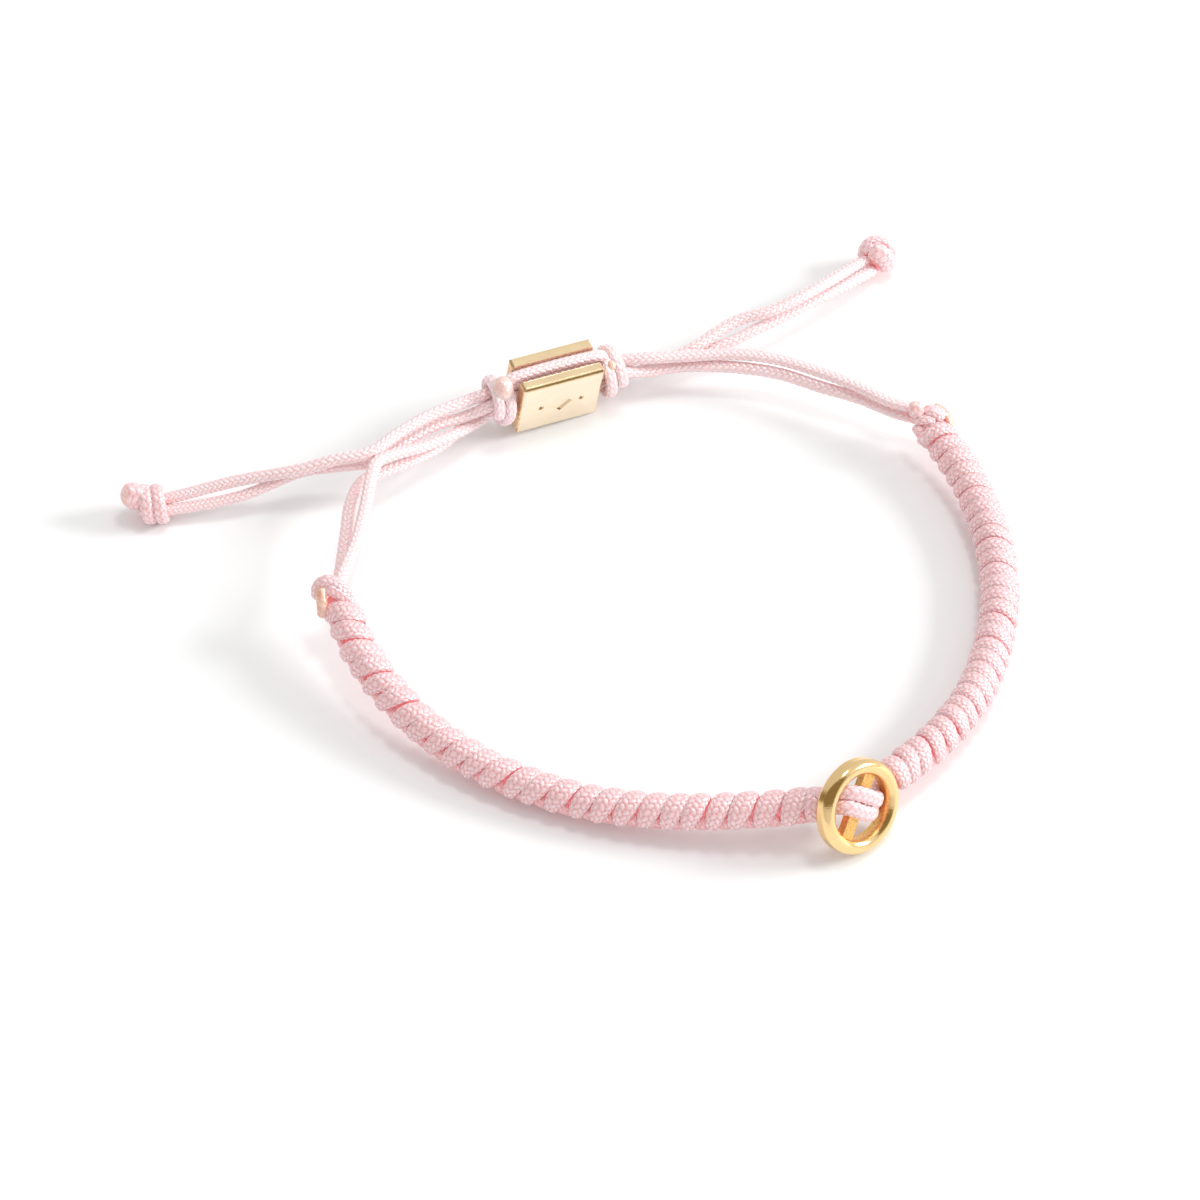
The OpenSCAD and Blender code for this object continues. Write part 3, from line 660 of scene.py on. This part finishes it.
# ---- Ring ----
# The ring is cast with a half-round front and a flat back, and a bar is soldered across it. It
# is polished and gold plated, with the faint unevenness of hand polishing.
RING_INNER_R = 2.95
RING_EDGE = (0.1, -0.05)  # from the inner radius, where the inside's cast finish and its painted shade begin and are full
RING_GOLD = (0.96, 0.69, 0.34, 1)
# The inside is a deeper orange: painted shade of the ring's hollow, over its cast finish.
RING_INSIDE_SHADE_GOLD = (0.94, 0.56, 0.2, 1)
RING_INSIDE_CAST = 0.7
GOLD_WEAR = 0.4


def build_polished_gold():
    """Colour, roughness and fine height of plated metal: slow polishing waves and fine scratches,
    and the grain and pits of the mould where it was left as cast."""
    pit_brown = (0.62, 0.33, 0.1, 1)
    wave_scale, grain_scale, pit_scale = 500.0, 6000.0, 5500.0
    scratch_turn, scratch_scale = (0.4, 0.3, 0.7), (600.0, 14000.0, 9000.0)
    smooth, wave_rough, scratch_rough, cast_rough = 0.07, 0.1, 0.25, 0.3
    grain_share, wave_share = 0.06, 0.1
    wave_rise, pit_rise = 0.5, 10.0
    group, given, result = finish_group("polished plating", (
        ("Gold", "Color", (0.9, 0.7, 0.4, 1)), ("Wear", "Float", 0.5), ("Cast", "Float", 0.0),
        ("Color", "Color", None), ("Roughness", "Float", None), ("Height", "Float", None)))
    place = object_place(group)
    waves = noise(group, place, wave_scale, 1.0)
    grain = noise(group, place, grain_scale)
    pits = noise(group, place, pit_scale, 3.0)
    drawn = add_node(group, "ShaderNodeMapping", {"Vector": place, "Rotation": scratch_turn,
                                                  "Scale": scratch_scale}).outputs[0]
    scratches = sums(group, "MULTIPLY", noise(group, drawn, 1.0, 1.0), 1.3, clamp=True)
    scratches = sums(group, "MULTIPLY", sums(group, "POWER", scratches, 4.0), given["Wear"])

    rough = sums(group, "MULTIPLY_ADD", waves, wave_rough, smooth)
    rough = sums(group, "MULTIPLY_ADD", scratches, scratch_rough, rough)
    rough = sums(group, "MULTIPLY_ADD", given["Cast"], cast_rough, rough)
    shade = sums(group, "MULTIPLY_ADD", grain, grain_share, 1 - (grain_share + wave_share) / 2)
    shade = sums(group, "MULTIPLY_ADD", waves, wave_share, shade)
    colour = blend_colour(group, 1.0, given["Gold"], grey(group, shade), "MULTIPLY")
    pitted = sums(group, "MULTIPLY", ramp_mask(group, pits, 0.5, 0.35), given["Cast"])
    colour = blend_colour(group, pitted, colour, pit_brown)
    height = sums(group, "MULTIPLY_ADD", waves, wave_rise, scratches)
    height = sums(group, "MULTIPLY_ADD", sums(group, "MULTIPLY", pits, given["Cast"]), pit_rise, height)
    for label, value in (("Color", colour), ("Roughness", rough), ("Height", height)):
        group.links.new(value, result[label])
    return group


polished_gold = build_polished_gold()


def gold_material(name, wear):
    material = bpy.data.materials.new(name)
    material.use_nodes = True
    tree = material.node_tree
    shader = tree.nodes["Principled BSDF"]
    plated = add_node(tree, "ShaderNodeGroup", node_tree=polished_gold)
    plated.inputs["Wear"].default_value = wear
    bump = add_node(tree, "ShaderNodeBump", {"Height": plated.outputs["Height"], "Strength": 0.25,
                                             "Distance": 0.02 * MM})
    tree.links.new(plated.outputs["Color"], shader.inputs["Base Color"])
    tree.links.new(plated.outputs["Roughness"], shader.inputs["Roughness"])
    tree.links.new(bump.outputs[0], shader.inputs["Normal"])
    shader.inputs["Metallic"].default_value = 1.0
    return material, tree, plated.inputs, shader.inputs


def own_place(tree, corner, turn):
    """The three coordinates in millimetres of a shading point, in a part's own frame."""
    inside = add_node(tree, "ShaderNodeMapping", {
        "Vector": object_place(tree), "Location": [MM * c for c in corner],
        "Rotation": [math.radians(t) for t in turn], "Scale": (MM, MM, MM)}, vector_type="TEXTURE").outputs[0]
    return add_node(tree, "ShaderNodeSeparateXYZ", {0: inside}).outputs


def plate(node, material):
    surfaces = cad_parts[node].data.materials
    surfaces.clear()
    surfaces.append(material)


ring_gold, tree, plating, shader = gold_material("ring gold", GOLD_WEAR)
x, y, z = own_place(tree, RING_CENTRE, RING_TURN)
from_axis = sums(tree, "SQRT", sums(tree, "MULTIPLY_ADD", x, x, sums(tree, "MULTIPLY", y, y)))
inner = ramp_mask(tree, from_axis, RING_INNER_R + RING_EDGE[0], RING_INNER_R + RING_EDGE[1])
tree.links.new(blend_colour(tree, inner, RING_GOLD, RING_INSIDE_SHADE_GOLD), plating["Gold"])
tree.links.new(sums(tree, "MULTIPLY", inner, RING_INSIDE_CAST), plating["Cast"])
plate("charm_ring", ring_gold)

# ---- Slide bead ----
# The bead is a cast block with a slot along it, open at the top. The strands are pressed into
# the slot, and the inside keeps the redder colour of the metal under the thin plating.
BEAD_CORNER = (-12.7, 20.5, 0.54)
BEAD_TURN = (10, 4, 24)
BEAD_L, BEAD_D, BEAD_H = 7.7, 3.85, 6.2
BEAD_WALL = 1.05
BEAD_GOLD = (0.99, 0.86, 0.68, 1)
BEAD_TOP_PAINTED_GOLD = (1.0, 0.78, 0.48, 1)
BEAD_END_GOLD = (0.95, 0.70, 0.45, 1)
BEAD_SLOT_GOLD = (0.93, 0.64, 0.50, 1)
BEAD_SLOT_METAL = 0.3
BEAD_LEAST_CAST = 0.08
SLOT_EDGE = 0.06
END_EDGE = (0.2, 0.05)  # below each end and the top, where the ends' cast finish and the top's painted reflection begin and are full
TOP_EDGE = (0.4, 0.15)
bead_gold, tree, plating, shader = gold_material("bead gold", GOLD_WEAR)
x, y, z = own_place(tree, BEAD_CORNER, BEAD_TURN)
slot = sums(tree, "MULTIPLY", ramp_mask(tree, y, BEAD_WALL - SLOT_EDGE, BEAD_WALL),
            ramp_mask(tree, y, BEAD_D - BEAD_WALL + SLOT_EDGE, BEAD_D - BEAD_WALL))
ends = sums(tree, "MAXIMUM", ramp_mask(tree, x, *END_EDGE),
            ramp_mask(tree, x, BEAD_L - END_EDGE[0], BEAD_L - END_EDGE[1]))
top = ramp_mask(tree, z, BEAD_H - TOP_EDGE[0], BEAD_H - TOP_EDGE[1])
# The top faces are a deeper gold: a painted reflection.
colour = blend_colour(tree, top, BEAD_GOLD, BEAD_TOP_PAINTED_GOLD)
colour = blend_colour(tree, ends, colour, BEAD_END_GOLD)
tree.links.new(blend_colour(tree, slot, colour, BEAD_SLOT_GOLD), plating["Gold"])
tree.links.new(sums(tree, "MAXIMUM", sums(tree, "MAXIMUM", slot, ends), BEAD_LEAST_CAST), plating["Cast"])
tree.links.new(sums(tree, "MULTIPLY_ADD", slot, BEAD_SLOT_METAL - 1, 1.0), shader["Metallic"])
plate("slide_bead", bead_gold)
# Its flat faces stay flat in a reflection, and only the rounded corners bend one.
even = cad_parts["slide_bead"].modifiers.new("even faces", "WEIGHTED_NORMAL")
even.weight = 100

# ---- Binding cord ----
# One more cord runs along the top of the slot and closes it. At both ends of the bead it loops
# round the four strands and is knotted, so that the bead grips them and still slides.
BINDING_W = 1.02
BINDING_T = 0.82
BUNDLE_H = 3.1
LOOP_R = 1.92
LOOP_GAP = 0.75
LOOP_PITCH = 1.05
LOOP_STEPS = 12
LOOP_POINTS = 16  # one and a quarter turns
RUN_DEPTH = 0.48
RUN_BACK = 0.2
RUN_INSET = 0.3
CUT_FACING = (0, 0.74, 0.67)
bead_frame = turned_frame(BEAD_CORNER, BEAD_TURN)


def bead_loop(start_x, way):
    step = np.arange(LOOP_POINTS)
    turn = np.radians(360 / LOOP_STEPS * step)
    return np.stack([start_x + way * LOOP_PITCH * step / LOOP_STEPS,
                     BEAD_D / 2 - LOOP_R * np.sin(turn), BUNDLE_H + LOOP_R * np.cos(turn)], axis=1)


slot_run = [(x, BEAD_D / 2 + RUN_BACK, BEAD_H - RUN_DEPTH) for x in (RUN_INSET, BEAD_L - RUN_INSET)]
route = np.concatenate([bead_loop(-LOOP_GAP, -1)[::-1], slot_run, bead_loop(BEAD_L + LOOP_GAP, 1)])
line, way = even_line(route, SHORT_CORD_STEP)
outward = (line - (0, BEAD_D / 2, BUNDLE_H)) * (0, 1, 1)
run = cord_run(from_frame(bead_frame, line), outward @ np.array(bead_frame)[:3, :3].T, BINDING_W, BINDING_T,
               way / STRAND_STITCH)
cut_ends = [
    melted_stub(from_frame(bead_frame, (-1.35, 1.43, 5.45)), [(0, 0, -1.1), (0, 0, -0.4), (0, 0, 0.6)],
                1.5, 1.85, CUT_FACING, first_melt=0.1, gain=0.35, swell=0.2),
    melted_stub(from_frame(bead_frame, (8.8, 1.1, 5.03)), [(0, 0, -1.0), (0, 0, -0.3), (0, 0, 0.35)],
                0.8, 0.9, CUT_FACING, first_melt=0.3, gain=0.5, swell=0.2)]
binding = cord_piece("binding_cord_braid", [run] + cut_ends, pale_cord)
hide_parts("binding_cord")

# ---- Table and light ----
# The bracelet lies on a plain white table in a bright white room. One soft window of light stands
# on the right, low over the table, and draws the shadows to the left. A second one is overhead.
TABLE_HALF = 1.5
TABLE_WHITES = (0.89, 0.9, 0.9, 1), (0.91, 0.92, 0.92, 1)
table = bmesh.new()
bmesh.ops.create_grid(table, x_segments=1, y_segments=1, size=TABLE_HALF)
table_mesh = bpy.data.meshes.new("table")
table.to_mesh(table_mesh)
table.free()
table_top = bpy.data.objects.new("table", table_mesh)
bpy.context.scene.collection.objects.link(table_top)
white = bpy.data.materials.new("white table")
white.use_nodes = True
tree = white.node_tree
shader = tree.nodes["Principled BSDF"].inputs
tree.links.new(blend_colour(tree, noise(tree, object_place(tree), 400.0), *TABLE_WHITES),
               shader["Base Color"])
shader["Roughness"].default_value = 0.6
shader["Specular IOR Level"].default_value = 0.2
table_mesh.materials.append(white)

ROOM_LEFT, ROOM_RIGHT = (0.77, 0.75, 0.74, 1), (0.97, 0.97, 0.97, 1)
ROOM_PAINTED_DARK = (0.28, 0.21, 0.11, 1)
PAINTED_DARK_OVER, PAINTED_DARK_REAR = (0.156, 0.596, 0.788), (0.346, 0.937, 0.048)  # normals of the planes that bound it
room = bpy.data.worlds.new("white room")
room.use_nodes = True
tree = room.node_tree
ahead = add_node(tree, "ShaderNodeTexCoord").outputs["Generated"]
rightward = add_node(tree, "ShaderNodeSeparateXYZ", {0: ahead}).outputs[0]
side = sums(tree, "MULTIPLY_ADD", rightward, 0.5, 0.5, clamp=True)
glow = blend_colour(tree, side, ROOM_LEFT, ROOM_RIGHT)
# A dark patch behind the camera is seen only by mirror rays: a painted dark reflection in the polished metal
# and the cords' gloss, which lights nothing.
over, rear = (add_node(tree, "ShaderNodeVectorMath", {0: ahead, 1: normal},
                       operation="DOT_PRODUCT").outputs["Value"] for normal in (PAINTED_DARK_OVER, PAINTED_DARK_REAR))
painted_dark_patch = sums(tree, "MULTIPLY", ramp_mask(tree, over, -0.21, -0.16), ramp_mask(tree, rear, 0.05, -0.05))
painted_dark_patch = sums(tree, "MULTIPLY", painted_dark_patch, ramp_mask(tree, rightward, 0.85, 0.7))
mirrored = add_node(tree, "ShaderNodeLightPath").outputs["Is Glossy Ray"]
glow = blend_colour(tree, sums(tree, "MULTIPLY", painted_dark_patch, mirrored), glow, ROOM_PAINTED_DARK)
tree.links.new(glow, tree.nodes["Background"].inputs["Color"])
tree.nodes["Background"].inputs["Strength"].default_value = 0.9
bpy.context.scene.world = room

for name, place, size, watts in (("right window", (0.75, 0.08, 0.38), (0.28, 0.22), 4.8),
                                 ("top window", (0.2, 0.16, 1.08), (0.3, 0.22), 2.1)):
    window = bpy.data.lights.new(name, "AREA")
    window.shape = "RECTANGLE"
    window.size, window.size_y = size
    window.energy = watts
    holder = bpy.data.objects.new(name, window)
    holder.location = place
    holder.rotation_euler = (-Vector(place)).to_track_quat("-Z", "Y").to_euler()
    bpy.context.scene.collection.objects.link(holder)
bpy.context.scene.view_settings.view_transform = "Standard"
bpy.context.scene.view_settings.look = "None"
